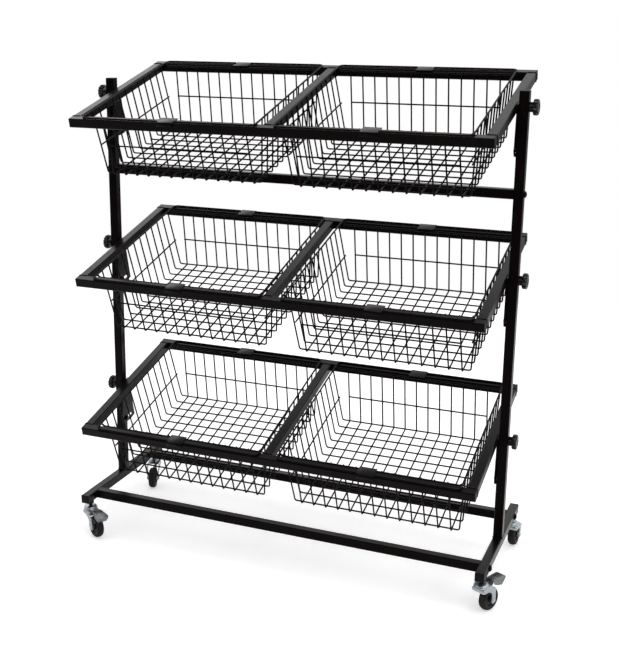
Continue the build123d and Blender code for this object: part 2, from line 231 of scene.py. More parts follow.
# %% Zinc and rubber
def plating(name, dull, bright):
    """Zinc plating, blotched and faintly brushed."""
    finish = Finish(name)
    blotch = finish.noise(130, 4)
    brush = finish.noise(900, 2, (1, 1, 0.06))
    finish.wear("Base Color", finish.mix(blotch, dull, bright))
    finish.wear("Metallic", 1.0)
    finish.wear("Roughness", blotch * 0.16 + brush * 0.08 + 0.24)
    finish.bump(brush, 0.00005, 0.4)
    return finish.material


def tyre_rubber():
    """Black rubber with ground-in dust."""
    finish = Finish("tyre_rubber")
    dirt = finish.noise(90, 5)
    grain = finish.noise(2200, 2)
    dusty = finish.above(dirt, 0.35, 0.8)
    clean_black = (0.0055, 0.005, 0.005)
    dusty_black = (0.026, 0.023, 0.021)
    finish.wear("Base Color", finish.mix(dusty, clean_black, dusty_black))
    finish.wear("Roughness", dirt * 0.2 + 0.52)
    finish.wear("Specular IOR Level", 0.2)
    finish.bump(grain, 0.00015, 0.7)
    return finish.material


zinc = plating("zinc_plate", (0.36, 0.40, 0.43), (0.58, 0.62, 0.65))
# Painted shade: the pedals get a darker copy of the zinc, standing in for the dark frame mirrored in their
# tops.
pedal_zinc = plating("pedal_zinc", (0.13, 0.14, 0.145), (0.30, 0.32, 0.33))
rubber = tyre_rubber()
print("metal and rubber", zinc.name, pedal_zinc.name, rubber.name)

# %% [markdown]
# # Painting the tubes and plates
# The square tubes, their crossbars and the slotted tilt plates already have the right shape in the CAD
# model, so their nodes stay. Only the material in their slots changes.

# %% Paint the CAD tubes
bars = ("crossbar_upper", "crossbar_front", "crossbar_rear")
tube_words = ("upright", "foot", "rail", "divider", "tilt_plates") + bars


def is_painted(name):
    """Whether a node is a tube or a plate, and not the caps in a tube's ends."""
    return any(word in name for word in tube_words) and "caps" not in name


painted = [name for name in frame["nodes"] if is_painted(name)]
for name in painted:
    for slot in frame["nodes"][name].material_slots:
        slot.material = frame_enamel
print("painted", len(painted), "nodes")

# %% [markdown]
# # A bending machine
# Wires, hooks, forks and pedals are all bent from a straight length. A path could be swept as a curve, but
# a real bender feeds the stock forward and turns its end about a former, and two bmesh operators do the
# same: extrude for the feed and spin for the bend. The stock's first section is a circle for a wire or a
# rectangle for a strip.

# %% Feed and bend
bend_steps = 4


def facing(start, toward, across):
    """A matrix at start whose Z runs toward a point and whose X lies across."""
    z = (toward - start).normalized()
    x = across.normalized()
    return Matrix.Translation(start) @ Matrix((x, z.cross(x), z)).transposed().to_4x4()


def verts_of(geometry):
    """The vertices among an operator's results."""
    return [item for item in geometry if isinstance(item, bmesh.types.BMVert)]


def edges_of(geometry):
    """The edges whose both ends are among the geometry's own vertices."""
    ends = set(verts_of(geometry))
    edges = [item for item in geometry if isinstance(item, bmesh.types.BMEdge)]
    return [edge for edge in edges if ends.issuperset(edge.verts)]


def fed(bm, edges, step):
    """Push the section forward and give its new edges."""
    made = bmesh.ops.extrude_edge_only(bm, edges=edges)["geom"]
    bmesh.ops.translate(bm, verts=verts_of(made), vec=step)
    return edges_of(made)


def bent(bm, edges, points, radius):
    """Take the section through the points and bend it about a former at each corner."""
    reached = points[0]
    for before, corner, after in zip(points, points[1:], points[2:]):
        one = (corner - before).normalized()
        two = (after - corner).normalized()
        turn = one.angle(two)
        trim = radius * math.tan(turn / 2)
        stop = corner - one * trim
        axis = one.cross(two).normalized()
        edges = fed(bm, edges, stop - reached)
        centre = stop + axis.cross(one) * radius
        turned_end = bmesh.ops.spin(bm, geom=edges, cent=centre, axis=axis, angle=turn, steps=bend_steps)
        edges = edges_of(turned_end["geom_last"])
        reached = corner + two * trim
    return fed(bm, edges, points[-1] - reached)


def finished(bm, name, smooth_under=40):
    """Close a bmesh into a mesh, smooth but for its sharp edges."""
    bmesh.ops.remove_doubles(bm, verts=bm.verts, dist=1e-6)
    bmesh.ops.recalc_face_normals(bm, faces=bm.faces)
    mesh = bpy.data.meshes.new(name)
    bm.to_mesh(mesh)
    bm.free()
    mesh.shade_smooth()
    mesh.set_sharp_from_angle(angle=math.radians(smooth_under))
    return mesh


# %% Wires and strips
def wire(name, points, radius, former, sides=8):
    """A round wire along the points, closed into a ring where the ends meet."""
    points = [Vector(point) for point in points]
    plane = (points[1] - points[0]).cross(Vector((0, 0, 1)))
    across = plane if plane.length > 1e-9 else Vector((1, 0, 0))
    ring = (points[0] - points[-1]).length < 1e-9
    start = facing(points[0], points[1], across)
    bm = bmesh.new()
    bmesh.ops.create_circle(bm, cap_ends=not ring, segments=sides, radius=radius, matrix=start)
    last = bent(bm, bm.edges[:], points, former)
    if not ring:
        bmesh.ops.edgeloop_fill(bm, edges=last)
    return finished(bm, name)


def strip(points, across, width, thickness, former):
    """A flat strip along the points, as an open bmesh to be worked further."""
    points = [Vector(point) for point in points]
    flat = Matrix.Diagonal((width, thickness, 1, 1))
    bm = bmesh.new()
    bmesh.ops.create_grid(bm, x_segments=1, y_segments=1, size=0.5)
    bmesh.ops.transform(bm, matrix=facing(points[0], points[1], Vector(across)) @ flat, verts=bm.verts)
    bmesh.ops.edgeloop_fill(bm, edges=bent(bm, bm.edges[:], points, former))
    bmesh.ops.recalc_face_normals(bm, faces=bm.faces)
    return bm


def softened(bm, offset, segments=2, over=50):
    """Break every edge that turns sharply, as a deburred or enamelled edge is."""
    sharp = [edge for edge in bm.edges if edge.calc_face_angle(0) > math.radians(over)]
    bmesh.ops.bevel(
        bm,
        geom=sharp,
        offset=offset,
        segments=segments,
        profile=0.5,
        affect="EDGES",
        material=-1,
        clamp_overlap=True,
    )


def gathered(name, placed):
    """One mesh from copies of meshes, each at its own matrix."""
    bm = bmesh.new()
    for mesh, matrix in placed:
        copy = mesh.copy()
        copy.transform(matrix)
        bm.from_mesh(copy)
        bpy.data.meshes.remove(copy)
    return finished(bm, name)


def set_down(mesh, name, matrix, body, nodes, material):
    """Put a copy of a mesh in the scene as a piece that rides on a body and stands for CAD nodes."""
    data = mesh.copy()
    data.transform(matrix)
    data.materials.clear()
    data.materials.append(material)
    piece = bpy.data.objects.new(name, data)
    scene.collection.objects.link(piece)
    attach(piece, body)
    if nodes:
        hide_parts(*nodes)


def middle_of(node):
    """The middle of a CAD node's box."""
    return [(low + high) / 2 for low, high in zip(*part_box(node))]


in_place = Matrix.Identity(4)
edge_break = 0.0004
print("the bender turns each corner in", bend_steps, "steps")

# %% [markdown]
# # Wire baskets
# Each basket hangs by a rim of thick wire that lies on the front and rear rails, near their outer edges,
# in two halves that end at the hook plates. Two top wires cross the rim just inside the rails. Thirteen
# long wires run from one top wire over the floor to the other, twelve cross wires lie on them, and four
# stiffening wires run along the walls at half height. The wires are resistance welded, so where they meet
# they sink into each other a little. All six baskets are alike, so one is built level, and copies are
# tipped into the trays.

# %% Basket sizes
trays = ("bottom", "middle", "top")
sides = {"left": -1, "right": 1}
tube = 0.025
rail_top = tube / 2
tray_depth = 0.524
wire_radius = 0.0022
rim_radius = 0.0025
rim_width = 0.505
rim_front = -0.2575
rim_rear = 0.2520
rim_corner = 0.012
rim_rest = 0.0002
rim_height = rail_top + rim_rest + rim_radius
rim_sides = 10
top_wire_radius = 0.0029
top_wire_u = 0.2301
top_wire_drop = 0.0052
top_wire_height = rail_top - top_wire_drop
top_wire_end = 0.009
hook_width = 0.048
wire_former = 0.006
weld_sink = 0.0004
basket_depth = 0.1725
floor_height = rail_top - basket_depth
long_floor = floor_height - 2 * wire_radius + weld_sink
long_overlap = 0.001
floor_half_depth = 0.207
floor_half_width = 0.231
long_pitch = 0.035
long_places = [long_pitch * (i - 6) for i in range(13)]
cross_span = 2 * (floor_half_depth - 2 * wire_radius)
cross_places = [cross_span * (i / 11 - 0.5) for i in range(12)]
stiffener_drop = 0.091
stiffener_height = rail_top - stiffener_drop
print("floor", round(2 * floor_half_width, 3), "by", round(2 * floor_half_depth, 3), "m")

# %% Bend the wires
rim_x = rim_width / 2 - rim_radius
rim_halves = []
for side in (-1, 1):
    plate_x = side * hook_width / 2
    out_x = side * rim_x
    front_run = [(plate_x, rim_front, 0), (out_x, rim_front, 0)]
    rear_run = [(out_x, rim_rear, 0), (plate_x, rim_rear, 0)]
    name = f"rim_half_{len(rim_halves)}"
    rim_halves.append(wire(name, front_run + rear_run, rim_radius, rim_corner, rim_sides))
top_half = [(rim_x - top_wire_end, 0, top_wire_height), (rim_x, 0, rim_height)]
top_path = [(-x, 0, v) for x, _, v in top_half[::-1]] + top_half
top_wire = wire("top_wire", top_path, top_wire_radius, wire_former, rim_sides)
long_top = (top_wire_u - top_wire_radius - wire_radius + weld_sink, top_wire_height + long_overlap)
long_half = [(0, *long_top), (0, floor_half_depth, long_floor)]
long_path = [(0, -u, v) for _, u, v in long_half] + long_half[::-1]
long_wire = wire("long_wire", long_path, wire_radius, wire_former)
cross_half = [(rim_x, 0, rim_height), (floor_half_width, 0, floor_height)]
cross_path = [(-x, 0, v) for x, _, v in cross_half] + cross_half[::-1]
cross_wire = wire("cross_wire", cross_path, wire_radius, wire_former)


def along_wall(foot, foot_height, top, top_height):
    """How far out the inside of a sloping wall is at the stiffening wire."""
    share = (stiffener_height - foot_height) / (top_height - foot_height)
    return foot + (top - foot) * share - 2 * wire_radius


end_u = along_wall(floor_half_depth, long_floor, *long_top)
side_x = along_wall(floor_half_width, floor_height, rim_x, rim_height)
end_path = [(long_places[0], 0, 0), (long_places[-1], 0, 0)]
end_stiffener = wire("end_stiffener", end_path, wire_radius, wire_former)
side_path = [(0, cross_places[0], 0), (0, cross_places[-1], 0)]
side_stiffener = wire("side_stiffener", side_path, wire_radius, wire_former)
print("stiffening wires at", round(end_u, 4), "and", round(side_x, 4))

# %% Weld one basket
placed = [(rim_half, Matrix.Translation((0, 0, rim_height))) for rim_half in rim_halves]
placed += [(long_wire, Matrix.Translation((x, 0, 0))) for x in long_places]
placed += [(cross_wire, Matrix.Translation((0, u, 0))) for u in cross_places]
for way in (-1, 1):
    placed.append((top_wire, Matrix.Translation((0, way * top_wire_u, 0))))
    placed.append((end_stiffener, Matrix.Translation((0, way * end_u, stiffener_height))))
    placed.append((side_stiffener, Matrix.Translation((way * side_x, 0, stiffener_height))))
basket = gathered("basket", placed)
print("one basket", len(placed), "wires", len(basket.polygons), "faces")

# %% [markdown]
# ## Hook plates
# A bent plate joins the halves of the rim at the front and at the rear of each basket and hooks over the
# tray's rail. It is a strip of sheet with one bend, so the bender makes it too, and its edges are broken
# so that they catch the light.

# %% Hook plates
hook_sheet = 0.002
hook_inner = 0.2272
hook_rest = 0.0001
hook_level = rail_top + hook_rest + hook_sheet / 2
hook_gap = 0.0007
hook_outer = tray_depth / 2 + hook_gap + hook_sheet / 2
hook_long = 0.012
hook_lip = rail_top + hook_sheet - hook_long
hook_bend = 0.0028
hook_path = [(0, hook_inner, hook_level), (0, hook_outer, hook_level), (0, hook_outer, hook_lip)]
hook_bm = strip(hook_path, (1, 0, 0), hook_width, hook_sheet, hook_bend)
softened(hook_bm, edge_break)
hook = finished(hook_bm, "hook")
hooks = gathered("hooks", [(hook, in_place), (hook, Matrix.Rotation(math.pi, 4, "Z"))])
print("hook plates", len(hooks.polygons), "faces")

# %% [markdown]
# ## Into the trays
# A tray's own frame is turned about its pivot line. The lift joints run square to the trays, so their axis
# gives the lean, and the basket's CAD node gives its place along the tray.

# %% Hang the baskets
def tray_place(tray, x):
    """The matrix that takes a level piece at the pivot line into the leaning tray."""
    lift = joints[f"lift_{tray}_left_basket"]["axis"]
    lean = math.atan2(-lift[1], lift[2])
    pivot = joints[f"tilt_{tray}_tray"]["pos_m"]
    return Matrix.Translation((x, pivot[1], pivot[2])) @ Matrix.Rotation(lean, 4, "X")


for tray in trays:
    for side in sides:
        node = f"basket_{tray}_{side}"
        place = tray_place(tray, middle_of(node)[0])
        set_down(basket, f"wires_{tray}_{side}", place, node, [node], wire_enamel)
        plates = f"hooks_{tray}_{side}"
        set_down(hooks, f"hook_plates_{tray}_{side}", place, node, [plates], frame_enamel)
print("hung", len(trays) * len(sides), "baskets")

# %% [markdown]
# # Turned pieces
# Knobs, studs, tyres and swivel heads are all round about an axis. On a lathe they are a profile turned
# about it, and here a few vertices are joined into that profile and spun through a full turn.

# %% A lathe
def turned(profile, steps, closed=False):
    """A profile of radius and height spun about Z, as a bmesh to be worked further."""
    bm = bmesh.new()
    points = [bm.verts.new((radius, 0, height)) for radius, height in profile]
    pairs = list(zip(points, points[1:])) + ([(points[-1], points[0])] if closed else [])
    profile_edges = [bm.edges.new(pair) for pair in pairs]
    bmesh.ops.spin(
        bm,
        geom=points + profile_edges,
        cent=(0, 0, 0),
        axis=(0, 0, 1),
        angle=2 * math.pi,
        steps=steps,
        use_merge=True,
    )
    bmesh.ops.remove_doubles(bm, verts=bm.verts, dist=1e-6)
    bmesh.ops.recalc_face_normals(bm, faces=bm.faces)
    return bm


def axis_along_x(sign):
    """Turns a piece's Z to point along +X or -X."""
    return Matrix.Rotation(sign * math.pi / 2, 4, "Y")


print("the lathe turns profiles of radius and height")

# %% [markdown]
# ## Clamp knobs
# Each tray is clamped by a moulded knob on either side: a wide head on a narrower neck, with its steel
# stud moulded in. The head has twelve flutes for the fingers. They are made by drawing in three of every
# six rows of the turned head, the middle row most.

# %% Knobs
seat_x = 0.6003
neck = 0.010
knob_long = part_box("knob_top_right")[1][0] - seat_x
stud_long = seat_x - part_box("knob_top_right")[0][0]
knob_profile = [
    (0.0, -stud_long),
    (0.0034, -stud_long),
    (0.0040, -stud_long + 0.0008),
    (0.0040, 0.0),
    (0.0118, 0.0),
    (0.0125, 0.0008),
    (0.0125, neck - 0.0015),
    (0.0140, neck),
    (0.0185, neck),
    (0.0203, neck + 0.0018),
    (0.0204, neck + 0.0065),
    (0.0203, knob_long - 0.0030),
    (0.0188, knob_long - 0.0009),
    (0.0160, knob_long - 0.0002),
    (0.0100, knob_long),
    (0.0090, knob_long - 0.0008),
    (0.0, knob_long - 0.0008),
]
knob_steps = 72
rows_a_flute = 6
fluted_over = 0.0175
knob_bm = turned(knob_profile, knob_steps)


def rim_rows(row):
    """The points of the head's rim that lie on one row of each flute."""
    found = []
    for vert in knob_bm.verts:
        step = round(math.atan2(vert.co.y, vert.co.x) / (2 * math.pi) * knob_steps)
        if step % rows_a_flute == row and vert.co.xy.length > fluted_over:
            found.append(vert)
    return found


middle_draw = 0.84
edge_draw = 0.90
draws = ((0, middle_draw), (1, edge_draw), (rows_a_flute - 1, edge_draw))
flutes = [(rim_rows(row), draw_in) for row, draw_in in draws]
for points, draw_in in flutes:
    bmesh.ops.scale(knob_bm, verts=points, vec=(draw_in, draw_in, 1))
knob = finished(knob_bm, "knob", 50)
for tray in trays:
    for side, sign in sides.items():
        node = f"knob_{tray}_{side}"
        pivot = joints[f"tilt_{tray}_tray"]["pos_m"]
        place = Matrix.Translation((sign * seat_x, pivot[1], pivot[2])) @ axis_along_x(sign)
        set_down(knob, f"clamp_{tray}_{side}", place, node, [node], knob_plastic)
print("knobs with", knob_steps // rows_a_flute, "flutes")

# %% [markdown]
# ## Bolts and guide studs
# The three crossbars are held by button-head bolts through the side frames. A button head is a low dome
# with a hexagon socket. The dome is a circle that is extruded and drawn in a few times. The socket is a
# hexagon with its sides divided until it has as many points as the dome's last ring, so that the two
# bridge cleanly.

# %% Button-head bolts
head_radius = 0.0096
dome_rings = [(0.0093, 0.0016), (0.0082, 0.0036), (0.0066, 0.0052), (0.0048, 0.0062)]
socket_depth = 0.0034
bolt_bm = bmesh.new()
bmesh.ops.create_circle(bolt_bm, cap_ends=True, segments=24, radius=head_radius)
ring = bolt_bm.edges[:]
reach = head_radius
level = 0.0
for radius, height in dome_rings:
    ring = fed(bolt_bm, ring, (0, 0, height - level))
    narrowed = list({vert for edge in ring for vert in edge.verts})
    bmesh.ops.scale(bolt_bm, verts=narrowed, vec=(radius / reach, radius / reach, 1))
    reach = radius
    level = height
socket_radius = 0.0033
hexagon = bmesh.ops.create_circle(
    bolt_bm, segments=6, radius=socket_radius, matrix=Matrix.Translation((0, 0, level))
)["verts"]
hexagon_edges = list({edge for vert in hexagon for edge in vert.link_edges})
bmesh.ops.subdivide_edges(bolt_bm, edges=hexagon_edges, cuts=3)
just_outside = 1.01 * socket_radius
inside = {vert for vert in bolt_bm.verts if vert.co.xy.length < just_outside}
socket = [edge for edge in bolt_bm.edges if inside.issuperset(edge.verts)]
bmesh.ops.bridge_loops(bolt_bm, edges=ring + socket)
bottom = fed(bolt_bm, socket, (0, 0, -socket_depth))
bmesh.ops.edgeloop_fill(bolt_bm, edges=bottom)
bolt = finished(bolt_bm, "bolt", 35)
print("button head", len(bolt.polygons), "faces")

# %% Set the bolts and studs
frame_outside = 0.6
bolt_places = []
for bar in bars:
    _, bar_y, bar_z = middle_of(bar)
    for sign in sides.values():
        spot = (sign * frame_outside, bar_y, bar_z)
        bolt_places.append((bolt, Matrix.Translation(spot) @ axis_along_x(sign)))
bolts = gathered("bolts", bolt_places)
set_down(bolts, "button_bolts", in_place, "stand", ["crossbar_bolts"], frame_enamel)

stud_profile = [
    (0.0, 0.0),
    (0.0040, 0.0),
    (0.0040, 0.0040),
    (0.0070, 0.0040),
    (0.0075, 0.0046),
    (0.0075, 0.0064),
    (0.0060, 0.0076),
    (0.0, 0.0080),
]
stud = finished(turned(stud_profile, 28), "stud")
inner_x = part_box("crossbar_upper")[1][0]
slot_radius = 0.110
stud_places = []
for tray in trays:
    pivot = joints[f"tilt_{tray}_tray"]["pos_m"]
    for sign in sides.values():
        spot = (sign * inner_x, pivot[1], pivot[2] - slot_radius)
        stud_places.append((stud, Matrix.Translation(spot) @ axis_along_x(-sign)))
studs = gathered("studs", stud_places)
set_down(studs, "headed_studs", in_place, "stand", ["guide_studs"], frame_enamel)
print("bolts", len(bolt_places), "studs", len(stud_places))

# %% [markdown]
# # End caps
# Every open tube end has a push-in plastic cap. Its flange is a little pillow: flat where it meets the
# tube, with rounded corners and a softened outer edge. A cube with two bevels gives that, the first on the
# four upright edges and the second round the outer face.

# %% One cap
cap_flange = 0.0025
cap_bm = bmesh.new()
bmesh.ops.create_cube(cap_bm, size=1)
bmesh.ops.scale(cap_bm, verts=cap_bm.verts, vec=(tube, tube, cap_flange))
bmesh.ops.translate(cap_bm, verts=cap_bm.verts, vec=(0, 0, cap_flange / 2))
upright_edges = [edge for edge in cap_bm.edges if abs(edge.verts[0].co.z - edge.verts[1].co.z) > 1e-4]
bmesh.ops.bevel(
    cap_bm, geom=upright_edges, offset=0.002, segments=4, profile=0.5, affect="EDGES", material=-1
)
outer_edges = [edge for edge in cap_bm.edges if all(vert.co.z > cap_flange - 1e-5 for vert in edge.verts)]
bmesh.ops.bevel(
    cap_bm, geom=outer_edges, offset=0.0012, segments=3, profile=0.5, affect="EDGES", material=-1
)
cap = finished(cap_bm, "cap", 45)
print("cap", len(cap.polygons), "faces")

# %% Push the caps in
stand_caps = []
for side in sides:
    middle_x = middle_of(f"upright_{side}")[0]
    upright_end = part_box(f"upright_{side}")[1][2]
    stand_caps.append((cap, Matrix.Translation((middle_x, 0, upright_end))))
    foot_low, foot_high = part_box(f"foot_{side}")
    foot_z = middle_of(f"foot_{side}")[2]
    front_end = Matrix.Translation((middle_x, foot_low[1], foot_z)) @ Matrix.Rotation(math.pi / 2, 4, "X")
    rear_end = Matrix.Translation((middle_x, foot_high[1], foot_z)) @ Matrix.Rotation(-math.pi / 2, 4, "X")
    stand_caps += [(cap, front_end), (cap, rear_end)]
stand_cap_set = gathered("stand_caps", stand_caps)
set_down(stand_cap_set, "tube_caps", in_place, "stand", ["end_caps"], cap_plastic)

rail_u = (tray_depth - tube) / 2
rail_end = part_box("tray_top_front_rail")[1][0]
rail_caps = []
for sign in sides.values():
    for u in (-rail_u, rail_u):
        rail_caps.append((cap, Matrix.Translation((sign * rail_end, u, 0)) @ axis_along_x(sign)))
rail_cap_set = gathered("rail_cap_set", rail_caps)
for tray in trays:
    body = f"tray_{tray}"
    node = f"{body}_rail_caps"
    place = tray_place(tray, 0)
    set_down(rail_cap_set, f"rail_ends_{tray}", place, body, [node], cap_plastic)
print("caps", len(stand_caps) + len(trays) * len(rail_caps))

# %% [markdown]
# # Weld beads
# The uprights stand on the feet and the side rails and dividers stand between the rails, held by a bead of
# weld round each joint. A bead is a thin round ring, half sunk in both tubes, so the wire helper makes it.

# %% Weld beads
bead_radius = 0.0019
bead_bend = 0.0025
bead_sink = 0.0002
half = tube / 2 - bead_sink
bead_corners = [(half, -half, 0), (half, half, 0), (-half, half, 0), (-half, -half, 0)]
bead = wire("bead", [(0, -half, 0)] + bead_corners + [(0, -half, 0)], bead_radius, bead_bend)
foot_beads = []
for side in sides:
    upright = f"upright_{side}"
    foot_beads.append((bead, Matrix.Translation((middle_of(upright)[0], 0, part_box(upright)[0][2]))))
foot_bead_set = gathered("foot_beads", foot_beads)
set_down(foot_bead_set, "foot_welds", in_place, "stand", [], frame_enamel)

side_rail_x = middle_of("tray_top_side_rail_right")[0]
stand_up = Matrix.Rotation(math.pi / 2, 4, "X")
tray_beads = []
for x in (-side_rail_x, 0, side_rail_x):
    for u in (-(tray_depth / 2 - tube), tray_depth / 2 - tube):
        tray_beads.append((bead, Matrix.Translation((x, u, 0)) @ stand_up))
tray_bead_set = gathered("tray_beads", tray_beads)
for tray in trays:
    place = tray_place(tray, 0)
    set_down(tray_bead_set, f"tray_welds_{tray}", place, f"tray_{tray}", [], frame_enamel)
print("beads", len(foot_beads) + len(trays) * len(tray_beads))

# %% [markdown]
# # Casters
# A caster is a pressed fork under a ball-bearing swivel head, a wheel on a riveted axle and, at the
# front, a brake pedal. Each is built about its stem, with X along the way that it trails and Y along its
# axle, and then turned to the angle at which its wheel stands.

# %% Caster places
casters = ("front_left", "front_right", "rear_left", "rear_right")
braked = ("front_left", "front_right")


def caster_place(name):
    """The matrix from a caster's own frame, on the floor under its stem."""
    stem = Vector(joints[f"swivel_{name}_caster"]["pos_m"])
    axle = Vector(joints[f"roll_{name}_wheel"]["pos_m"])
    way = axle - stem
    turn = math.atan2(way.y, way.x)
    return Matrix.Translation((stem.x, stem.y, 0)) @ Matrix.Rotation(turn, 4, "Z")


trail = 0.0345
axle_height = 0.0325
across_axle = Matrix.Translation((trail, 0, axle_height)) @ Matrix.Rotation(math.pi / 2, 4, "X")
print("casters at", [tuple(round(v, 3) for v in caster_place(name).to_translation()) for name in casters])

# %% [markdown]
# ## Forks
# The fork is pressed from one sheet into a hood with two legs. It is made as a pressing is drawn: first
# the outline of one leg as a flat face, its corners rounded by a bevel of its points. The concave corner
# becomes the arch over the wheel. Then the leg's top edge is spun over into the crown, the half is
# mirrored, the front is closed with an apron, and the whole surface gets its thickness at the end. Below
# the hood the legs lean in towards the wheel.

# %% Outline of a leg
fork_sheet = 0.0025
crown_height = 0.078
leg_outside = 0.021
press_radius = 0.006
bend_level = crown_height - press_radius
fork_front = -0.014
crown_rear = 0.026
skirt_low = 0.067
end_radius = 0.009
leg_corners = [
    (fork_front, bend_level, 0),
    (crown_rear, bend_level, 0),
    (0.036, bend_level, 0.004),
    (trail + end_radius, axle_height - end_radius, 0.98 * end_radius),
    (trail - end_radius, axle_height - end_radius, 0.98 * end_radius),
    (trail - end_radius, skirt_low, 0.0235),
    (fork_front, skirt_low, 0),
]
fork_bm = bmesh.new()
leg_points = [fork_bm.verts.new((x, -leg_outside, z)) for x, z, _ in leg_corners]
fork_bm.faces.new(leg_points)
for point, (_, _, rounding) in zip(leg_points, leg_corners):
    if rounding:
        bmesh.ops.bevel(
            fork_bm, geom=[point], offset=rounding, segments=8, profile=0.5, affect="VERTICES", material=-1
        )
print("leg outline", len(fork_bm.verts), "points")

# %% Press the hood
leg_inset = 0.0035
leg_slope = leg_inset / (skirt_low - axle_height)
for vert in fork_bm.verts:
    vert.co.y += leg_slope * max(0, skirt_low - vert.co.z)


def edges_where(bm, test):
    """The edges whose both ends pass a test."""
    return [edge for edge in bm.edges if all(test(vert.co) for vert in edge.verts)]


def at_front(place):
    """Whether a point lies on the fork's front end."""
    return abs(place.x - fork_front) < 1e-6


def at_crown(place):
    """Whether a point lies on the edge that is folded into the crown."""
    return place.z > bend_level - 1e-6 and place.x < crown_rear + 1e-6


crown_edge = edges_where(fork_bm, at_crown)
folded = bmesh.ops.spin(
    fork_bm,
    geom=crown_edge,
    cent=(0, press_radius - leg_outside, bend_level),
    axis=(1, 0, 0),
    angle=-math.pi / 2,
    steps=5,
)
fed(fork_bm, edges_of(folded["geom_last"]), (0, leg_outside - press_radius, 0))
bmesh.ops.remove_doubles(fork_bm, verts=fork_bm.verts, dist=1e-6)
half_fork = fork_bm.verts[:] + fork_bm.edges[:] + fork_bm.faces[:]
bmesh.ops.mirror(fork_bm, geom=half_fork, axis="Y", merge_dist=1e-5)
apron_edges = edges_where(fork_bm, at_front)
apron_feet = [vert for vert in fork_bm.verts if at_front(vert.co) and vert.co.z < skirt_low + 1e-6]
bmesh.ops.edgeloop_fill(fork_bm, edges=apron_edges + [fork_bm.edges.new(apron_feet)])
bmesh.ops.recalc_face_normals(fork_bm, faces=fork_bm.faces)
apron_bend = [edge for edge in edges_where(fork_bm, at_front) if not edge.is_boundary]
bmesh.ops.bevel(
    fork_bm,
    geom=apron_bend,
    offset=press_radius,
    segments=5,
    profile=0.5,
    affect="EDGES",
    material=-1,
    clamp_overlap=True,
)
bmesh.ops.recalc_face_normals(fork_bm, faces=fork_bm.faces)
bmesh.ops.solidify(fork_bm, geom=fork_bm.faces[:], thickness=fork_sheet)
softened(fork_bm, edge_break, 1)
fork_shell = finished(fork_bm, "fork_shell")
print("fork", len(fork_shell.polygons), "faces")

# %% [markdown]
# ## Swivel heads and axles
# The head is two pressed races with a row of balls between them, so its side shows a groove. It is turned
# on the lathe. The axle is a rivet with a domed head on one leg and a hexagon nut on the other.

# %% Head and axle
race_profile = [
    (0.0052, 0.0780),
    (0.0185, 0.0780),
    (0.0200, 0.0790),
    (0.0202, 0.0806),
    (0.0192, 0.0818),
    (0.0176, 0.0822),
    (0.0176, 0.0828),
    (0.0190, 0.0832),
    (0.0192, 0.0846),
    (0.0178, 0.0866),
    (0.0140, 0.0878),
    (0.0052, 0.0880),
]
race = finished(turned(race_profile, 48, True), "race", 35)
axle_end = leg_outside - leg_inset
rivet_profile = [
    (0.0, -axle_end),
    (0.0040, -axle_end),
    (0.0040, axle_end),
    (0.0066, axle_end),
    (0.0064, axle_end + 0.0012),
    (0.0045, axle_end + 0.0024),
    (0.0, axle_end + 0.0028),
]
rivet = finished(turned(rivet_profile, 24), "rivet")


def hexagon_nut(name, radius, height):
    """A six-sided nut with its edges broken."""
    bm = bmesh.new()
    bmesh.ops.create_cone(bm, cap_ends=True, segments=6, radius1=radius, radius2=radius, depth=height)
    softened(bm, 0.0006)
    return finished(bm, name)


axle_nut = hexagon_nut("axle_nut", 0.0066, 0.0030)
nut_place = across_axle @ Matrix.Translation((0, 0, -axle_end - 0.0013))
fork_set = [(fork_shell, in_place), (race, in_place), (rivet, across_axle), (axle_nut, nut_place)]
fork = gathered("fork", fork_set)
for name in casters:
    body = f"caster_fork_{name}"
    set_down(fork, f"fork_{name}", caster_place(name), body, [body], zinc)
print("forks", len(casters), "with", len(fork.polygons), "faces")

# %% [markdown]
# ## Wheels
# A rubber tyre is moulded round a plastic hub. The tyre's profile is rounded at its shoulders, and the hub
# is dished between its rim and its boss. Each is one closed profile, turned about the axle.

# %% Wheels
half_wheel = 0.011
tyre_half = [
    (0.0238, 0.0100),
    (0.0256, half_wheel),
    (0.0276, 0.0106),
    (0.0296, 0.0092),
    (0.0312, 0.0068),
    (0.0322, 0.0038),
    (0.0325, 0.0010),
]
tyre_profile = tyre_half + [(radius, -y) for radius, y in tyre_half[::-1]]
tyre = finished(turned(tyre_profile, 64, True), "tyre", 60)
hub_half = [
    (0.0041, 0.0109),
    (0.0082, 0.0109),
    (0.0088, 0.0102),
    (0.0096, 0.0062),
    (0.0180, 0.0054),
    (0.0206, 0.0092),
    (0.0238, 0.0100),
]
hub_profile = hub_half + [(radius, -y) for radius, y in hub_half[::-1]]
hub = finished(turned(hub_profile, 48, True), "hub", 40)
for name in casters:
    body = f"caster_wheel_{name}"
    place = caster_place(name) @ across_axle
    set_down(tyre, f"tyre_{name}", place, body, [body], rubber)
    set_down(hub, f"hub_{name}", place, body, [body], hub_plastic)
print("wheels", len(casters))

# %% [markdown]
# ## Stems
# A nut welded under each foot end holds the caster's threaded stem, whose riveted end carries the fork.
# The nuts are enamelled with the frame. The four stems belong to the stand, so they are one piece.

# %% Stems
foot_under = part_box("foot_left")[0][2]
stem_profile = [
    (0.0, 0.0724),
    (0.0060, 0.0726),
    (0.0084, 0.0738),
    (0.0084, 0.0750),
    (0.0050, 0.0752),
    (0.0050, foot_under),
    (0.0, foot_under),
]
stem = finished(turned(stem_profile, 32), "stem")
nut_height = 0.0088
foot_nut = hexagon_nut("foot_nut", 0.0112, nut_height)
stem_places = []
for name in casters:
    place = caster_place(name)
    stem_places.append((stem, place))
    stem_places.append((foot_nut, place @ Matrix.Translation((0, 0, foot_under - nut_height / 2))))
stems = gathered("stems", stem_places)
set_down(stems, "threaded_stems", in_place, "stand", ["caster_stems"], frame_enamel)
print("stems", len(casters))

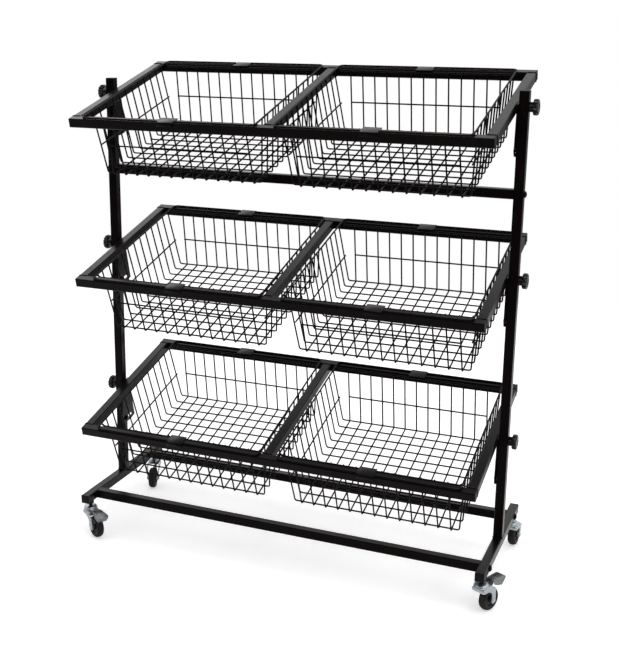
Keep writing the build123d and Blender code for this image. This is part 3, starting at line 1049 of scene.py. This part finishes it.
# %% [markdown]
# ## Brake pedals
# A pedal is a strip that rises from its pin on the fork, runs out level over the wheel and folds under at
# its end, where a toe presses it. Two side walls stiffen it and three pressed ribs stop a shoe from
# slipping. The strip is bent, the eye round the pin is turned, and a wall is a flat outline that is
# pushed out by the thickness of the sheet.

# %% Bend the pedal
pedal_sheet = 0.0025
pedal_half = 0.0135
pin_trail = 0.024
pin_height = 0.070
pedal_top = 0.084
pedal_tip = 0.092
pedal_rise = [(pin_trail, 0, pin_height), (0.038, 0, pedal_top)]
pedal_fold = [(pedal_tip, 0, pedal_top), (0.072, 0, 0.062)]
pedal_bend = 0.0042
pedal_bm = strip(pedal_rise + pedal_fold, (0, 1, 0), 2 * pedal_half, pedal_sheet, pedal_bend)
softened(pedal_bm, 0.0005)
pedal_strip = finished(pedal_bm, "pedal_strip")
eye_inside = 0.00255
eye_outside = 0.0046
eye_profile = [
    (eye_inside, -pedal_half),
    (eye_outside, -pedal_half),
    (eye_outside, pedal_half),
    (eye_inside, pedal_half),
]
pedal_eye = finished(turned(eye_profile, 28, True), "pedal_eye")
eye_place = Matrix.Translation((pin_trail, 0, pin_height)) @ Matrix.Rotation(math.pi / 2, 4, "X")
print("pedal strip", len(pedal_strip.polygons), "faces")

# %% Side walls and ribs
wall_sheet = 0.0018
wall_corners = [(0.040, 0.0835), (0.0885, 0.0835), (0.0718, 0.0635), (0.060, 0.0645), (0.040, 0.0735)]
wall_bm = bmesh.new()
wall_points = [wall_bm.verts.new((x, -wall_sheet / 2, z)) for x, z in wall_corners]
wall_bm.faces.new(wall_points)
bmesh.ops.bevel(
    wall_bm, geom=wall_points, offset=0.0025, segments=4, profile=0.5, affect="VERTICES", material=-1
)
pushed = bmesh.ops.extrude_face_region(wall_bm, geom=wall_bm.faces[:])["geom"]
bmesh.ops.translate(wall_bm, verts=verts_of(pushed), vec=(0, wall_sheet, 0))
bmesh.ops.recalc_face_normals(wall_bm, faces=wall_bm.faces)
softened(wall_bm, edge_break, 1)
pedal_wall = finished(wall_bm, "pedal_wall")
wall_out = pedal_half - wall_sheet / 2
rib_half = 0.0095
rib_radius = 0.0014
rib = wire("rib", [(0, -rib_half, 0), (0, rib_half, 0)], rib_radius, wire_former)
pedal_set = [(pedal_strip, in_place), (pedal_eye, eye_place)]
pedal_set += [(pedal_wall, Matrix.Translation((0, way * wall_out, 0))) for way in (-1, 1)]
rib_places = (0.064, 0.072, 0.080)
rib_height = pedal_top + pedal_sheet / 2
pedal_set += [(rib, Matrix.Translation((x, 0, rib_height))) for x in rib_places]
pedal = gathered("pedal", pedal_set)
pin_profile = [(0.0, -leg_outside), (0.0025, -leg_outside), (0.0025, leg_outside), (0.0, leg_outside)]
pin = finished(turned(pin_profile, 20), "pin")
for name in braked:
    body = f"caster_pedal_{name}"
    place = caster_place(name)
    # The pedals take the darker zinc, which is painted shade for the dark frame mirrored in their tops.
    set_down(pedal, f"pedal_{name}", place, body, [body], pedal_zinc)
    set_down(pin, f"pedal_pin_{name}", place @ eye_place, f"caster_fork_{name}", [], zinc)
print("pedals", len(braked))

# %% [markdown]
# # Floor and light
# The stand is shown on white. The floor is a pale sheet that keeps a soft shadow, and the sky is white
# where the camera sees it but dimmer as a light, so that nothing is washed out. Reflections meet a room
# that is white behind the stand and overhead and dims towards the front and the horizon, as in a studio
# with one white wall. Of three soft lamps, one hangs overhead and one stands on the right. A small one
# behind on the left is mirrored in the tops of the left side rails.

# %% Floor
floor_finish = Finish("floor_paper")
paper = floor_finish.noise(3, 2)
floor_finish.wear("Base Color", floor_finish.mix(paper, (0.90, 0.90, 0.90), (0.92, 0.92, 0.92)))
floor_finish.wear("Roughness", 0.9)
floor_finish.wear("Specular IOR Level", 0.0)
ray = floor_finish.node("ShaderNodeLightPath", output="Is Camera Ray")
mirrored = floor_finish.node("ShaderNodeLightPath", output="Is Glossy Ray")
lift = 0.46
lift_in_mirrors = 0.12
glow = ray * lift + mirrored * lift_in_mirrors
floor_finish.wear("Emission Color", floor_finish.mix(glow, (0, 0, 0), (1, 1, 1)))
floor_finish.wear("Emission Strength", 1.0)
floor_bm = bmesh.new()
floor_half = 3
bmesh.ops.create_grid(floor_bm, x_segments=1, y_segments=1, size=floor_half)
floor_mesh = finished(floor_bm, "floor")
floor_mesh.materials.append(floor_finish.material)
floor = bpy.data.objects.new("floor", floor_mesh)
scene.collection.objects.link(floor)
print("floor", floor.dimensions[:])

# %% Sky and lamps
world = bpy.data.worlds.new("sky")
scene.world = world
world.use_nodes = True
sky = Nodes(world.node_tree)
seen = sky.node("ShaderNodeLightPath", output="Is Camera Ray")
mirrored = sky.node("ShaderNodeLightPath", output="Is Glossy Ray")
through = sky.node("ShaderNodeLightPath", output="Is Transmission Ray")
heading = sky.node("ShaderNodeTexCoord", output="Generated")
rearward = sky.node("ShaderNodeSeparateXYZ", {}, {0: heading}, output="Y")
upward = sky.node("ShaderNodeSeparateXYZ", {}, {0: heading}, output="Z")


def fading(signal, low, high):
    """Dim where a direction is under low, full where it is over high."""
    values = {"Value": signal, "From Min": low, "From Max": high, "To Min": 0.25, "To Max": 1.0}
    return sky.node("ShaderNodeMapRange", {}, values)


room = fading(rearward, -0.9, 0.1) * fading(upward, -0.1, 0.3)
ambient = 0.62
either = mirrored.maths("MAXIMUM", mirrored, through)
reflected = either * room + (1 - either) * ambient
background = sky.tree.nodes["Background"]
background.inputs["Color"].default_value = (1, 1, 1, 1)
sky.feed(background.inputs["Strength"], seen + (1 - seen) * reflected)


def soft_box(name, spot, size, power):
    """A square area lamp that faces the middle of the stand."""
    lamp = bpy.data.lights.new(name, "AREA")
    lamp.size = size
    lamp.energy = power
    box = bpy.data.objects.new(name, lamp)
    spot = Vector(spot)
    toward = Vector((0, 0, 0.6)) - spot
    box.matrix_world = Matrix.Translation(spot) @ toward.to_track_quat("-Z", "Y").to_matrix().to_4x4()
    scene.collection.objects.link(box)


soft_box("over", (0.6, -0.4, 4.6), 3.0, 75)
soft_box("right", (4.0, -1.6, 2.6), 2.2, 30)
soft_box("left", (-3.2, 3.3, 3.7), 1.4, 7)
print("lamps", [item.name for item in bpy.data.lights])
